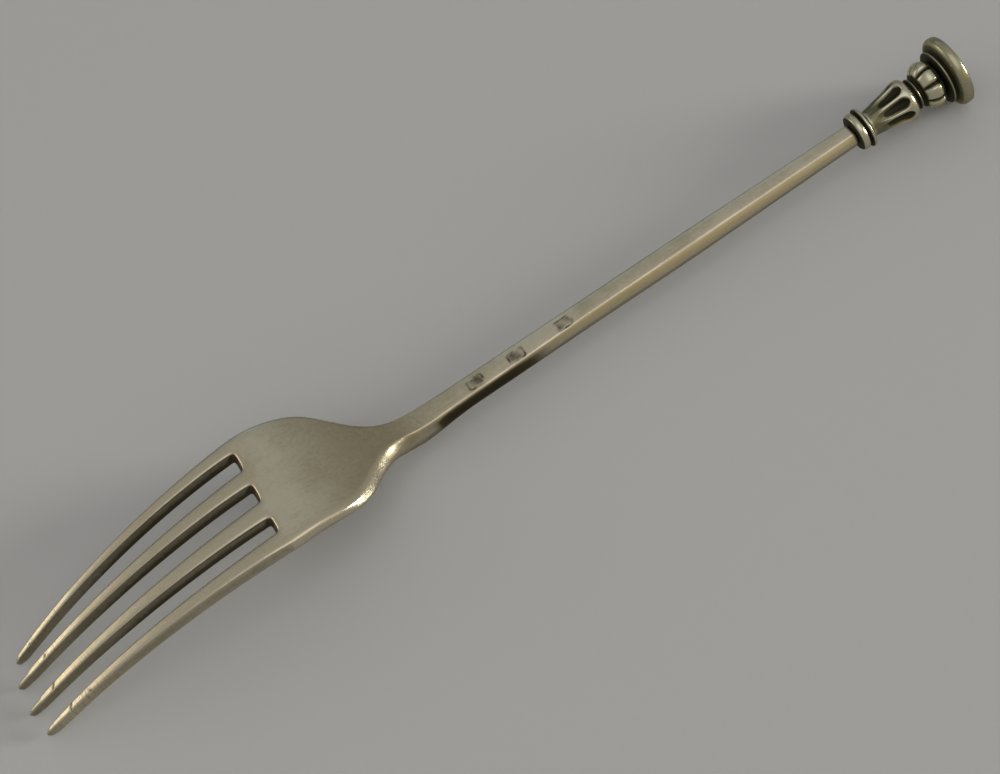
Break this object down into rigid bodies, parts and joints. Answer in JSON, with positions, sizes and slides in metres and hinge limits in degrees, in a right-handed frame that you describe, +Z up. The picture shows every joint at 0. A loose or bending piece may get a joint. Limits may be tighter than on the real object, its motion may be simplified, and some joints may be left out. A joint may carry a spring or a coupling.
{
  "type": "seal-top fork",
  "caption": "Old silver table fork with slender curved tines, rounded shoulders, a six-sided stem and a cast seal-top finial with flutes, a lobed knop and a flat disc.",
  "frame": {"origin": "middle of the fork's length and width, on the surface that it lies on", "axes": "+X from the tine tips to the seal, +Z up, with the back of the fork up, +Y across the tines"},
  "size_m": [0.1704, 0.0232, 0.0136],
  "materials": {
    "forged_silver": "worn satin silver, warm grey, finely scratched",
    "turned_silver": "worn silver, bright on the edges, dark in the groove",
    "cast_silver": "cast silver, dark tarnish in the flutes",
    "seal_silver": "worn silver, bright rim, dark under the disc"
  },
  "bodies": {
    "root": {"tines_and_stem": "forged_silver", "stem_collar": "turned_silver", "fluted_baluster": "cast_silver", "seal_disc": "seal_silver"}
  },
  "joints": []
}
